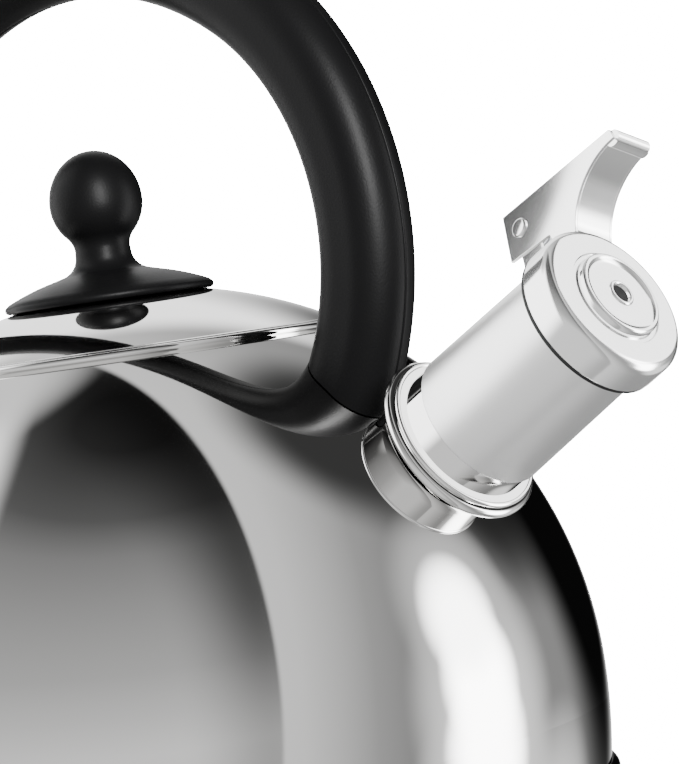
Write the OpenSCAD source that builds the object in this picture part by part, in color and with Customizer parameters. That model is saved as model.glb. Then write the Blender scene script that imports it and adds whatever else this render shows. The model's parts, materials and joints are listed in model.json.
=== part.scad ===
// Stovetop whistling kettle: polished domed body, lift-off lid with a black knob, black arch
// handle, and a plug-in whistle with a spring cap and thumb lever on an inclined spout.
// Millimetres. Z is up, the base rests on z = 0, the spout leans out along +X.
// The handle arch and the spout axis lie in the XZ plane.

/* [Body] */
// Largest outside radius of the domed body
body_r = 109; // [95:0.5:120]
// Height of the largest radius above the table
body_mid_z = 35.7; // [28:0.1:45]
// Radius of the flatter curve below the largest radius
flank_r = 151.3; // [130:0.1:180]
// Wall thickness of the pressed steel body
wall = 0.9; // [0.6:0.05:1.5]
// Height of the rolled seam where body and base pan meet
seam_z = 11; // [9:0.1:14]
// Section radius of the rolled seam
seam_r = 2.3; // [1.5:0.1:3]
// Radius of the flat disc under the base
disc_r = 88; // [70:1:95]
// Thickness of the flat disc under the base
disc_t = 4; // [2:0.5:7]

/* [Mouth and lid] */
// Radius where the dome stops at the lid seat
mouth_edge_r = 57.2; // [50:0.1:62]
// Inside radius of the mouth tube
mouth_r = 51.5; // [45:0.1:54]
// Height of the lid seat ledge
seat_z = 127.5; // [124:0.1:130]
// Height of the lid crown
lid_top_z = 144.5; // [140:0.1:150]
// Radius of the lid curve
lid_curve_r = 113.1; // [90:0.1:140]
// Clearance between lid skirt and mouth tube
lid_gap = 0.3; // [0.2:0.05:0.6]

/* [Knob] */
// Radius of the knob ball
knob_r = 11.6; // [9:0.1:15]
// Height of the ball centre
knob_z = 167.3; // [160:0.1:175]
// Radius of the knob waist
knob_waist_r = 7; // [5:0.1:9]
// Radius of the knob flange
knob_flange_r = 26.1; // [20:0.1:30]

/* [Handle] */
// Radius of the two side curves of the arch
side_arc_r = 71.2; // [60:0.1:80]
// Sideways offset of the side curve centres
side_arc_x = 15; // [9:0.3:24]
// Height of the side curve centres
side_arc_z = 152; // [145:0.5:160]
// Half width of the grip across the arch plane
grip_half_w = 9.3; // [7:0.1:14]
// Extra half depth of the oval grip section
grip_stretch = 2.2; // [0:0.1:5]
// Half width of the pocket for the steel tongue, in the arch plane
pocket_x = 8; // [7.5:0.1:9]
// Half width of the same pocket across the arch plane
pocket_y = 4; // [3:0.1:5]

/* [Spout] */
// Horizontal distance from the kettle axis to the neck rim centre
spout_x = 105.3; // [95:0.1:115]
// Height of the neck rim centre
spout_z = 99; // [90:0.1:110]
// Upward slope of the spout
spout_angle = 28.8; // [15:0.1:45]
// Outside radius of the neck at the dome
neck_r = 15.8; // [14:0.1:20]
// Outside radius of the rolled neck rim
neck_bead_out_r = 20.9; // [19:0.1:23]

/* [Whistle] */
// Turn of the plugged-in whistle around the spout axis
whistle_turn = -24.7; // [-90:0.1:90]
// Outside radius of the brushed sleeve at its lower end
sleeve_low_r = 17.2; // [16:0.1:19]
// Outside radius of the brushed sleeve at its upper end
sleeve_top_r = 16.4; // [15:0.1:18]
// Distance of the sleeve lower end from the neck rim
sleeve_start = 8.5; // [6:0.1:12]
// Distance of the sleeve upper end from the neck rim
sleeve_end = 46.6; // [40:0.1:52]
// Outside radius of the cap
cap_r = 18.8; // [17:0.1:22]
// Distance of the cap front face from the neck rim
cap_front = 56.2; // [52:0.1:62]
// Radius of the whistle hole
hole_r = 2.3; // [1:0.1:4]

/* [Lever] */
// Distance of the hinge rivet from the neck rim, along the spout
pivot_t = 39.2; // [36:0.1:43]
// Distance of the hinge rivet from the spout axis
pivot_h = 30.6; // [26:0.1:34]
// Outside width of the thumb lever
lever_w = 10.8; // [8:0.1:16]
// Sheet thickness of lever and bracket
sheet = 0.8; // [0.6:0.05:1.2]
// Radius of the hinge rivet shank
rivet_r = 1.5; // [1:0.05:2]

/* [Hidden] */
$fn = 96;
eps = 0.01;
foot_angle = 24;
flank_x = body_r - flank_r;
lid_curve_z = lid_top_z - lid_curve_r;
cap_back = sleeve_end + 1;
cap_round = 2.6;
bead_r = 1.2;
bead_mid_r = neck_bead_out_r - bead_r;
shoulder_t = 2;
shoulder_r = 0.6;
shoulder_mid_r = 18.9;
plug_r = 14.6;
plug_depth = 16;
insert_r = 16.6;
liner_r = 15.5;
running_gap = 0.06;
ear_y = 3.3;
screw_r = 2;
clamp_r = 1.5;
stud_r = 1.25;
stud_el = [43.6, 49.1];
rim_x = 55.3;
lid_edge_z = 141.95;
washer_z = 142.5;
face_r = 10.6;
web_t = 70.6;
web_h = 15.3;
web_r = 16.2;
lip_t = 71.6;
lip_h = 32.9;
thumb_r = 2;

// ---- placing helpers ----

module on_spout() {
    translate([spout_x, 0, spout_z])
        rotate([0, 90 - spout_angle, 0])
            children();
}

// local x points away from the spout axis at the lever side, local z runs out along the spout
module on_whistle() {
    on_spout()
        rotate([0, 0, 180 + whistle_turn])
            children();
}

// a flat shape drawn as [distance along spout, distance from axis], centred across the lever
module lever_plate(t) {
    translate([0, t / 2, 0])
        rotate([90, 0, 0])
            linear_extrude(height = t)
                mirror([1, -1, 0])
                    children();
}

module ring_2d(inner, outer, low, high) {
    translate([inner, low])
        square([outer - inner, high - low]);
}

// ---- body ----

// half outline of the body, grown by d
module body_outline(d) {
    intersection() {
        translate([0, body_mid_z])
            circle(r = body_r + d);
        translate([0, body_mid_z])
            square([body_r + 20, body_r + 20]);
    }
    intersection() {
        translate([flank_x, body_mid_z])
            circle(r = flank_r + d);
        translate([0, 9])
            square([body_r + 20, body_mid_z - 9]);
    }
}

module body_shell() {
    color("silver")
        difference() {
            rotate_extrude()
                difference() {
                    body_outline(0);
                    body_outline(-wall);
                    square([mouth_edge_r, 200]);
                }
            on_spout()
                translate([0, 0, -40])
                    cylinder(r = neck_r - 0.9, h = 60);
            stud_holes();
        }
}

module base_pan() {
    corner_x = 97;
    corner_z = 13.3;
    corner_r = corner_z - disc_t;
    color("silver")
        rotate_extrude() {
            translate([0, disc_t])
                square([corner_x, wall]);
            intersection() {
                translate([corner_x, corner_z])
                    difference() {
                        circle(r = corner_r);
                        circle(r = corner_r - wall);
                    }
                translate([corner_x, 0])
                    square([20, corner_z]);
            }
        }
}

module base_disc() {
    bevel = 1;
    color("silver")
        rotate_extrude()
            polygon([[0, 0], [disc_r - bevel, 0], [disc_r, bevel], [disc_r, disc_t], [0, disc_t]]);
}

module base_seam() {
    seam_x = 106.9;
    inner_x = flank_x + sqrt(pow(flank_r, 2) - pow(body_mid_z - seam_z - seam_r, 2)) + 0.02;
    color("silver")
        rotate_extrude()
            intersection() {
                translate([seam_x, seam_z])
                    circle(r = seam_r);
                ring_2d(inner_x, inner_x + 10, 0, 40);
            }
}

module mouth_collar() {
    roll_r = 0.9;
    roll_x = mouth_edge_r + 0.55;
    roll_z = body_mid_z + sqrt(pow(body_r + roll_r, 2) - pow(roll_x, 2)) - 0.25;
    color("silver")
        rotate_extrude()
            difference() {
                union() {
                    ring_2d(mouth_r, roll_x - 0.4, seat_z - wall, seat_z);
                    ring_2d(mouth_r, mouth_r + wall, 119, seat_z);
                    ring_2d(mouth_edge_r - 0.25, mouth_edge_r + 0.2, seat_z - wall, roll_z);
                    translate([roll_x, roll_z])
                        circle(r = roll_r);
                }
                difference() {
                    translate([0, body_mid_z])
                        circle(r = body_r);
                    square([mouth_edge_r, 200]);
                }
            }
}

// ---- spout neck ----

module spout_neck() {
    color("silver")
        difference() {
            on_spout()
                rotate_extrude() {
                    polygon([[neck_r - 0.9, -24], [neck_r, -24], [neck_r + 0.3, -5],
                        [bead_mid_r, 0], [bead_mid_r - 1, 0.6], [neck_r - 0.7, -4.6],
                        [neck_r - 0.9, -8]]);
                    translate([bead_mid_r, 0])
                        circle(r = bead_r);
                }
            translate([0, 0, body_mid_z])
                sphere(r = body_r);
        }
}

// ---- handle ----

module grip_2d() {
    for (dir = [-1, 1])
        translate([dir * grip_stretch, 0])
            circle(r = grip_half_w);
    translate([-grip_stretch, -grip_half_w])
        square([2 * grip_stretch, 2 * grip_half_w]);
}

module half_section() {
    intersection() {
        grip_2d();
        translate([-20, -20])
            square([40, 20]);
    }
}

// half section swept round a ring and cut to a wedge; local y is up
module ring_sector(r, wedge) {
    intersection() {
        rotate_extrude()
            translate([r, 0])
                half_section();
        translate([0, 0, -20])
            linear_extrude(height = 40)
                polygon(wedge);
    }
}

module side_arc() {
    translate([-side_arc_x, 0, side_arc_z])
        rotate([90, 0, 0])
            ring_sector(side_arc_r, [[0, 0], [-150, 200], [-300, 0], [-200, -180]]);
}

// the +Y half of the arch: the three arcs are tangent where they meet, on a 3:4 slope
module arch() {
    translate([0, 0, side_arc_z - side_arc_x * 4 / 3])
        rotate([90, 0, 0])
            ring_sector(side_arc_r + side_arc_x * 5 / 3, [[0, 0], [150, 200], [-150, 200]]);
    side_arc();
    mirror([1, 0, 0])
        side_arc();
}

// straight frame at the foot of one leg: local z runs up the leg
module at_foot(dir) {
    mirror([dir < 0 ? 1 : 0, 0, 0])
        translate([side_arc_x, 0, side_arc_z])
            rotate([0, foot_angle, 0])
                translate([side_arc_r, 0, 0])
                    children();
}

// cross cylinder at each foot, running from y = low to y = high
module foot_cross(r, low, high) {
    for (dir = [-1, 1])
        at_foot(dir)
            translate([0, low, 0])
                rotate([-90, 0, 0])
                    cylinder(r = r, h = high - low);
}

module dome_ball(d) {
    translate([0, 0, body_mid_z])
        sphere(r = body_r + d);
}

// pocket in each foot for the steel tongue
module foot_pockets() {
    for (dir = [-1, 1])
        at_foot(dir)
            translate([-pocket_x, -pocket_y, -30])
                cube([2 * pocket_x, 2 * pocket_y, 39]);
}

module handle_left_half() {
    color("dimgray")
        difference() {
            arch();
            dome_ball(0.25);
            foot_pockets();
            foot_cross(clamp_r + 0.05, 1, 20);
            foot_cross(3.4, grip_half_w - 1.9, 20);
        }
}

module handle_right_half() {
    color("dimgray")
        difference() {
            mirror([0, 1, 0])
                arch();
            dome_ball(0.25);
            foot_pockets();
            foot_cross(clamp_r + 0.05, 1.2 - grip_half_w, -1);
        }
}

// local z runs out of the dome at elevation el above the dome centre
module on_dome(dir, el) {
    mirror([dir < 0 ? 1 : 0, 0, 0])
        translate([0, 0, body_mid_z])
            rotate([0, 90 - el, 0])
                children();
}

module stud_holes() {
    for (dir = [-1, 1])
        for (el = stud_el)
            on_dome(dir, el)
                translate([0, 0, body_r - 5])
                    cylinder(r = stud_r + 0.03, h = 10);
}

module bracket(dir) {
    color("silver")
        difference() {
            union() {
                at_foot(dir)
                    translate([-2.6, -1.5, -14])
                        cube([5.2, 3, 20]);
                intersection() {
                    difference() {
                        dome_ball(1.2);
                        dome_ball(0);
                    }
                    at_foot(dir)
                        translate([-7.5, -3.5, -24])
                            cube([15, 7, 22]);
                }
            }
            dome_ball(0);
            foot_cross(clamp_r + 0.05, -10, 10);
            stud_holes();
        }
}

module bracket_front() {
    bracket(1);
}

module bracket_rear() {
    bracket(-1);
}

module bracket_studs() {
    color("silver")
        for (dir = [-1, 1])
            for (el = stud_el)
                on_dome(dir, el)
                    rotate_extrude() {
                        ring_2d(0, stud_r, body_r - wall - 0.8, body_r + 2);
                        ring_2d(0, stud_r + 0.9, body_r - wall - 0.8, body_r - wall - 0.05);
                        ring_2d(0, stud_r + 0.7, body_r + 1.25, body_r + 2);
                    }
}

module handle_screws() {
    color("gray")
        for (dir = [-1, 1])
            at_foot(dir)
                rotate([-90, 0, 0])
                    difference() {
                        rotate_extrude() {
                            ring_2d(0, clamp_r, 1.4 - grip_half_w, grip_half_w - 1.8);
                            ring_2d(0, 3.1, grip_half_w - 1.8, grip_half_w - 0.3);
                        }
                        for (a = [0, 90])
                            rotate([0, 0, a])
                                translate([-2, -0.35, grip_half_w - 1.1])
                                    cube([4, 0.7, 2]);
                    }
}

// ---- lid ----

module lid_band(outer, inner, low_x, high_x) {
    intersection() {
        translate([0, lid_curve_z])
            difference() {
                circle(r = lid_curve_r + outer);
                circle(r = lid_curve_r + inner);
            }
        ring_2d(low_x, high_x, 100, 160);
    }
}

module lid_shell() {
    color("silver")
        rotate_extrude()
            lid_band(0, -wall, screw_r + 0.1, rim_x - 0.3);
}

module lid_rim() {
    rim_r = 1.25;
    color("silver")
        rotate_extrude()
            difference() {
                translate([rim_x, seat_z + 0.3 + rim_r])
                    circle(r = rim_r);
                ring_2d(0, rim_x - 0.25, seat_z + 1.45, 160);
            }
}

module lid_skirt() {
    color("silver")
        rotate_extrude()
            intersection() {
                ring_2d(mouth_r - lid_gap - 0.9, mouth_r - lid_gap, 119.5, 140);
                translate([0, lid_curve_z])
                    circle(r = lid_curve_r - wall - 0.02);
            }
}

module lid_knob() {
    crown_r = 58.5;
    crown_z = 91.5;
    edge_r = 1.05;
    waist_fillet = 5;
    color("dimgray")
        rotate_extrude()
            difference() {
                union() {
                    intersection() {
                        translate([0, knob_z])
                            circle(r = knob_r);
                        ring_2d(0, knob_r + 1, knob_z - knob_r, knob_z + knob_r);
                    }
                    ring_2d(0, knob_waist_r, 145, knob_z - 8);
                    difference() {
                        ring_2d(0, knob_waist_r + waist_fillet, 145, 154);
                        translate([knob_waist_r + waist_fillet, 154])
                            circle(r = waist_fillet);
                    }
                    intersection() {
                        translate([0, crown_z])
                            circle(r = crown_r);
                        ring_2d(0, knob_flange_r - edge_r, 140, 155);
                    }
                    translate([knob_flange_r - edge_r, lid_edge_z + edge_r])
                        circle(r = edge_r);
                }
                translate([0, lid_curve_z])
                    circle(r = lid_curve_r + 0.02);
                difference() {
                    translate([0, lid_curve_z])
                        circle(r = lid_curve_r + 0.3);
                    ring_2d(0, 8, 100, 160);
                }
                ring_2d(0, screw_r + 0.05, 100, 158);
            }
}

module knob_screw() {
    color("gray")
        difference() {
            rotate_extrude() {
                ring_2d(0, screw_r, washer_z - 2.4, 157);
                ring_2d(0, 3.6, washer_z - 2.4, washer_z - 0.02);
            }
            for (a = [0, 90])
                rotate([0, 0, a])
                    translate([-2.2, -0.4, washer_z - 3])
                        cube([4.4, 0.8, 1.8]);
        }
}

module knob_washer() {
    color("gray")
        rotate_extrude()
            ring_2d(screw_r + 0.1, 5.5, washer_z, washer_z + 0.85);
}

// ---- whistle unit ----

module whistle_tube() {
    color("silver")
        on_whistle()
            rotate_extrude()
                difference() {
                    union() {
                        ring_2d(plug_r - 0.9, plug_r, -plug_depth, shoulder_t);
                        ring_2d(plug_r - 0.9, shoulder_mid_r, shoulder_t - 0.4, shoulder_t + 0.4);
                        translate([shoulder_mid_r, shoulder_t])
                            circle(r = shoulder_r);
                        ring_2d(insert_r - 0.9, insert_r, shoulder_t, sleeve_start + 0.8);
                        ring_2d(liner_r - 0.7, insert_r, sleeve_start, sleeve_start + 0.8);
                        ring_2d(liner_r - 0.7, liner_r, sleeve_start, sleeve_end - 0.4);
                    }
                    ring_2d(plug_r - 0.5, plug_r + 1, -9, -6);
                }
}

module plug_seal() {
    color("dimgray")
        on_whistle()
            rotate_extrude()
                ring_2d(plug_r - 0.48, neck_r - 0.9 - running_gap, -8.9, -6.1);
}

module whistle_sleeve() {
    step_t = sleeve_start + 0.85;
    color("silver")
        on_whistle()
            rotate_extrude()
                polygon([[insert_r + 0.05, sleeve_start], [sleeve_low_r, sleeve_start],
                    [sleeve_top_r, sleeve_end], [liner_r + 0.05, sleeve_end],
                    [liner_r + 0.05, step_t], [insert_r + 0.05, step_t]]);
}

module sleeve_cone(d) {
    translate([0, 0, sleeve_start])
        cylinder(r1 = sleeve_low_r + d, r2 = sleeve_top_r + d, h = sleeve_end - sleeve_start);
}

module hinge_bracket() {
    color("silver")
        on_whistle()
            difference() {
                union() {
                    for (side = [-1, 1])
                        translate([0, side * (ear_y + sheet / 2), 0])
                            lever_plate(sheet) {
                                translate([pivot_t, pivot_h])
                                    circle(r = 3.1);
                                polygon([[pivot_t - 3.1, pivot_h], [pivot_t - 3.1, 15],
                                    [pivot_t + 4, 15], [pivot_t + 3.1, pivot_h]]);
                            }
                    lever_plate(2 * ear_y + eps)
                        polygon([[pivot_t - 3.1, 15], [pivot_t + 3.9, 15],
                            [pivot_t + 3.9, sleeve_low_r + 1], [pivot_t - 3.1, sleeve_low_r + 1]]);
                }
                sleeve_cone(0.01);
                translate([pivot_h, 0, pivot_t])
                    rotate([90, 0, 0])
                        cylinder(r = rivet_r, h = 20, center = true);
            }
}

module hinge_rivet() {
    head_y = lever_w / 2 + 0.3;
    head_r = 2.2;
    head_t = 1.3;
    color("silver")
        on_whistle()
            translate([pivot_h, 0, pivot_t])
                rotate([90, 0, 0]) {
                    cylinder(r = rivet_r, h = 2 * head_y + 0.2, center = true);
                    for (side = [0, 1])
                        mirror([0, 0, side])
                            translate([0, 0, head_y])
                                rotate_extrude() {
                                    ring_2d(0, head_r, 0, head_t - 0.8);
                                    ring_2d(0, head_r - 0.8, 0, head_t);
                                    translate([head_r - 0.8, head_t - 0.8])
                                        circle(r = 0.8);
                                }
                }
}

module hinge_spring() {
    wire_r = 0.5;
    leg_r = 0.4;
    coil_r = 2.35;
    pitch = 1.1;
    turns = 2;
    color("gray")
        on_whistle() {
            translate([pivot_h, 0, pivot_t])
                rotate([90, 0, 0])
                    rotate_extrude() {
                        for (i = [-turns : turns])
                            translate([coil_r, i * pitch])
                                circle(r = wire_r);
                        ring_2d(coil_r - 0.15, coil_r + 0.15, -turns * pitch, turns * pitch);
                    }
            translate([pivot_h - coil_r, turns * pitch, pivot_t])
                cylinder(r = leg_r, h = 20);
            translate([sleeve_low_r + 1.6, -turns * pitch, pivot_t - coil_r])
                rotate([0, 90, 0])
                    cylinder(r = leg_r, h = pivot_h - sleeve_low_r - 1.6);
        }
}

// ---- cap ----

module cap_outline(d) {
    r = cap_r + d;
    front = cap_front + d;
    round_r = cap_round + d;
    ring_2d(0, r, cap_back, front - round_r);
    ring_2d(0, r - round_r, cap_back, front);
    translate([r - round_r, front - round_r])
        circle(r = round_r);
}

module whistle_cap() {
    color("silver")
        on_whistle()
            rotate_extrude()
                difference() {
                    cap_outline(0);
                    cap_outline(-wall);
                    ring_2d(0, cap_r - wall, cap_back - 1, cap_back + 1);
                    ring_2d(0, face_r - 1.6, cap_back, cap_front + 1);
                    ring_2d(face_r + 0.15, face_r + 1.2, cap_front - 0.4, cap_front + 1);
                }
}

module whistle_face() {
    dome_r = 60;
    rise = 1.95;
    edge_r = 0.8;
    color("silver")
        on_whistle()
            rotate_extrude() {
                difference() {
                    union() {
                        ring_2d(0, face_r, cap_front, cap_front + 0.4);
                        ring_2d(0, face_r - edge_r, cap_front, cap_front + 1.2);
                        translate([face_r - edge_r, cap_front + 0.4])
                            circle(r = edge_r);
                        intersection() {
                            translate([0, cap_front + rise - dome_r])
                                circle(r = dome_r);
                            ring_2d(0, face_r - edge_r, cap_front, cap_front + 3);
                        }
                    }
                    intersection() {
                        translate([0, cap_front + rise - dome_r])
                            circle(r = dome_r - 0.7);
                        ring_2d(0, face_r - 1.7, cap_front - 1, cap_front + 3);
                    }
                    ring_2d(0, 20, cap_front - 1, cap_front);
                    ring_2d(0, hole_r, cap_front - 1, cap_front + 3);
                }
                translate([hole_r + 0.45, cap_front + rise - 0.2])
                    circle(r = 0.45);
            }
}

module whistle_back_plate() {
    color("silver")
        on_whistle()
            rotate_extrude() {
                ring_2d(hole_r, cap_r - wall - 0.05, 50.4, 51.2);
                ring_2d(cap_r - wall - 0.85, cap_r - wall - 0.05, cap_back + 1.1, 51.2);
            }
}

module cap_gasket() {
    color("black")
        on_whistle()
            rotate_extrude() {
                ring_2d(liner_r - 0.9, cap_r - 0.15, cap_back - 0.65, cap_back - 0.01);
                ring_2d(liner_r - 0.9, cap_r - wall - 0.05, cap_back - 0.65, cap_back + 1);
            }
}

// outline of one lever side: a kite with a hollow front edge
module lever_side_2d() {
    difference() {
        polygon([[33.7, 24.6], [34.4, 37.3], [lip_t, lip_h + 1.5], [lip_t + 0.6, lip_h - 1.6],
            [lip_t + 0.6, 15], [cap_back + 0.3, 15], [cap_back - 0.7, 22.9]]);
        translate([web_t, web_h])
            circle(r = web_r);
    }
}

module lever_web_2d() {
    intersection() {
        translate([web_t, web_h])
            difference() {
                circle(r = web_r + sheet);
                circle(r = web_r);
            }
        translate([web_t - 30, 15])
            square([lip_t - web_t + 30.2, 30]);
    }
    translate([lip_t - 0.9, lip_h - 0.6])
        circle(r = thumb_r);
}

module cap_lever() {
    color("silver")
        on_whistle()
            difference() {
                union() {
                    for (side = [-1, 1])
                        translate([0, side * (lever_w - sheet) / 2, 0])
                            lever_plate(sheet)
                                lever_side_2d();
                    lever_plate(lever_w - 2 * sheet + eps)
                        lever_web_2d();
                }
                rotate_extrude()
                    cap_outline(0.01);
                translate([pivot_h, 0, pivot_t])
                    rotate([90, 0, 0])
                        cylinder(r = rivet_r + running_gap, h = 30, center = true);
            }
}

body_shell();
base_pan();
base_disc();
base_seam();
mouth_collar();
spout_neck();
bracket_front();
bracket_rear();
bracket_studs();
handle_left_half();
handle_right_half();
handle_screws();
lid_shell();
lid_rim();
lid_skirt();
lid_knob();
knob_screw();
knob_washer();
whistle_tube();
whistle_sleeve();
plug_seal();
hinge_bracket();
hinge_rivet();
hinge_spring();
whistle_cap();
cap_gasket();
whistle_back_plate();
whistle_face();
cap_lever();
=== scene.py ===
"""Looks of the stovetop whistling kettle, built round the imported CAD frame. Sizes are in millimetres."""

import math

import bmesh
import bpy
from mathutils import Matrix, Vector
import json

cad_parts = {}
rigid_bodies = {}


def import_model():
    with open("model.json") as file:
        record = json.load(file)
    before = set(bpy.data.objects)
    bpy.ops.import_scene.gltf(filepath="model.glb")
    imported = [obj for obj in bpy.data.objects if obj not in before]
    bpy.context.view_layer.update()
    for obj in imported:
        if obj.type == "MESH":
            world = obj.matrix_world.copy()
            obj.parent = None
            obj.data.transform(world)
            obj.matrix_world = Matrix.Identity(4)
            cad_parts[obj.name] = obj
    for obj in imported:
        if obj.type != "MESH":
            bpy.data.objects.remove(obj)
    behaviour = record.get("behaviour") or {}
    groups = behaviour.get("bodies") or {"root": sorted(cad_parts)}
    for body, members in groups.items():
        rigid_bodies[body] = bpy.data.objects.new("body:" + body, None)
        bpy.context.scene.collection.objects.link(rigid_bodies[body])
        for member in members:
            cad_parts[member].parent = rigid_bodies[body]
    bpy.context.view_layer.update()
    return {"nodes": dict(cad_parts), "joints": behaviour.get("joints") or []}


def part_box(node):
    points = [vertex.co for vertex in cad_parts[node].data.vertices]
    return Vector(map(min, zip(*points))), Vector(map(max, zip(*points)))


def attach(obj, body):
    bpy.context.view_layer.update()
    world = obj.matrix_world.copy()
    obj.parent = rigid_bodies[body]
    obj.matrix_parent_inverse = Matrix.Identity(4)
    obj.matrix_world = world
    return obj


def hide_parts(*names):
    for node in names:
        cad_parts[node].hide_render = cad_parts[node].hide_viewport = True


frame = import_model()
MM = 0.001

# ---- places, read from the frame ----

joints = {joint["name"]: joint for joint in frame["joints"]}
body_low, body_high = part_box("body_shell")
body_r = (body_high.y - body_low.y) / 2 / MM
pivot_t = 39.2
pivot_h = 30.6
spout_dir = Vector(joints["whistle_pull"]["axis"]).normalized()
hinge_dir = Vector(joints["cap_flip"]["axis"]).normalized()
lever_dir = hinge_dir.cross(spout_dir).normalized()
hinge_point = Vector(joints["cap_flip"]["pos_m"])
neck_rim = hinge_point - spout_dir * pivot_t * MM - lever_dir * pivot_h * MM


def placed(x, y, z, origin):
    """Matrix with the given axes and origin."""
    m = Matrix((x, y, z)).transposed().to_4x4()
    m.translation = origin
    return m


upright = Matrix.Identity(4)
on_whistle = placed(lever_dir, hinge_dir, spout_dir, neck_rim)

# ---- design sizes ----

body_mid_z = 35.7
flank_r = 151.3
flank_x = body_r - flank_r
wall = 0.9
body_bottom_z = 9.0
mouth_edge_r = 57.2
mouth_r = 51.5
seat_z = 127.5
seam_x = 106.9
seam_z = 11.0
seam_r = 2.3
disc_r = 88.0
disc_t = 4.0
lid_curve_r = 113.1
lid_curve_z = 31.4
rim_x = 55.3
knob_r = 11.6
knob_z = 167.3
knob_waist_r = 7.0
knob_flange_r = 26.1
side_arc_r = 71.2
side_arc_x = 15.0
side_arc_z = 152.0
grip_half_w = 9.3
grip_stretch = 2.2
foot_angle = math.radians(24)
foot_gap = 0.25
neck_r = 15.8
neck_end = -30
flare_start = -5.2
bead_r = 1.2
bead_mid_r = 19.7
plug_r = 14.6
insert_r = 16.6
liner_r = 15.5
shoulder_t = 2.0
shoulder_r = 0.6
shoulder_mid_r = 18.9
sleeve_start = 8.5
sleeve_end = 46.6
sleeve_low_r = 17.2
sleeve_top_r = 16.4
cap_r = 18.8
cap_back = 47.6
cap_front = 56.2
cap_round = 2.6
face_r = 10.6
hole_r = 2.3
lever_w = 10.8
sheet = 0.8
ear_y = 3.3
ear_r = 3.1
rivet_r = 1.5
web_t = 70.6
web_h = 15.3
web_r = 16.2
lip_t = 71.6
lip_h = 32.9
lip_r = 2.0

# ---- outline helpers ----


def arc(cx, cy, r, start, end, step=4.0):
    """Points on an arc, angles in degrees."""
    n = max(2, math.ceil(abs(end - start) / step))
    angles = [math.radians(start + (end - start) * i / n) for i in range(n + 1)]
    return [(cx + r * math.cos(a), cy + r * math.sin(a)) for a in angles]


def rounded(corners, closed=True):
    """Outline through corners given as (x, y, radius), each one rounded."""
    out = []
    count = len(corners)
    for i, (x, y, radius) in enumerate(corners):
        here = Vector((x, y))
        if radius <= 0 or (not closed and i in (0, count - 1)):
            out.append((x, y))
            continue
        before = Vector(corners[i - 1][:2]) - here
        after = Vector(corners[(i + 1) % count][:2]) - here
        half = before.angle(after) / 2
        if half > math.radians(89):
            out.append((x, y))
            continue
        reach = min(radius / math.tan(half), before.length * 0.49, after.length * 0.49)
        r = reach * math.tan(half)
        start = here + before.normalized() * reach
        middle = here + (before.normalized() + after.normalized()).normalized() * (r / math.sin(half))
        end = here + after.normalized() * reach
        a0 = math.atan2(start.y - middle.y, start.x - middle.x)
        a1 = math.atan2(end.y - middle.y, end.x - middle.x)
        turn = (a1 - a0 + math.pi) % (2 * math.pi) - math.pi
        n = max(3, math.ceil(abs(turn) / math.radians(12)))
        out += [
            (middle.x + r * math.cos(a0 + turn * k / n), middle.y + r * math.sin(a0 + turn * k / n))
            for k in range(n + 1)
        ]
    return out


def curve_height(centre_z, r, x):
    return centre_z + math.sqrt(r * r - x * x)


# ---- mesh helpers ----


def finish_mesh(name, mesh, place=upright, sharp=34):
    """Object from a mesh in millimetres, with outward normals and smooth shading."""
    bm = bmesh.new()
    bm.from_mesh(mesh)
    bmesh.ops.remove_doubles(bm, verts=bm.verts, dist=1e-5)
    bmesh.ops.recalc_face_normals(bm, faces=bm.faces)
    bmesh.ops.scale(bm, vec=(MM, MM, MM), verts=bm.verts)
    bm.to_mesh(mesh)
    bm.free()
    shade(mesh, sharp)
    obj = bpy.data.objects.new(name, mesh)
    bpy.context.scene.collection.objects.link(obj)
    obj.matrix_world = place
    return obj


def shade(mesh, sharp=34):
    mesh.shade_smooth()
    mesh.set_sharp_from_angle(angle=math.radians(sharp))


def lathe(name, loop, place=upright, steps=192, sharp=34):
    """Closed outline of (radius, height) turned round the local Z axis."""
    verts = []
    faces = []
    count = len(loop)
    for k in range(steps):
        a = 2 * math.pi * k / steps
        verts += [(r * math.cos(a), r * math.sin(a), z) for r, z in loop]
    for k in range(steps):
        this = k * count
        after = ((k + 1) % steps) * count
        for i in range(count):
            j = (i + 1) % count
            if loop[i][0] < 1e-6 and loop[j][0] < 1e-6:
                continue
            faces.append((this + i, after + i, after + j, this + j))
    mesh = bpy.data.meshes.new(name)
    mesh.from_pydata(verts, [], faces)
    mesh.validate()
    return finish_mesh(name, mesh, place, sharp)


def tube(name, points, r, closed=False, place=upright, steps=16):
    """Round wire of radius r through points."""
    count = len(points)
    path = [Vector(p) for p in points]
    verts = []
    faces = []
    normal = None
    for i in range(count):
        if closed:
            along = path[(i + 1) % count] - path[i - 1]
        else:
            along = path[min(i + 1, count - 1)] - path[max(i - 1, 0)]
        along.normalize()
        if normal is None:
            normal = along.orthogonal()
        normal = (normal - along * normal.dot(along)).normalized()
        side = along.cross(normal)
        for k in range(steps):
            a = 2 * math.pi * k / steps
            verts.append(path[i] + (normal * math.cos(a) + side * math.sin(a)) * r)
    for i in range(count if closed else count - 1):
        this = i * steps
        after = ((i + 1) % count) * steps
        for k in range(steps):
            j = (k + 1) % steps
            faces.append((this + k, this + j, after + j, after + k))
    if not closed:
        faces.append(tuple(range(steps)))
        faces.append(tuple((count - 1) * steps + k for k in range(steps)))
    mesh = bpy.data.meshes.new(name)
    mesh.from_pydata(verts, [], faces)
    return finish_mesh(name, mesh, place, 50)


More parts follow.
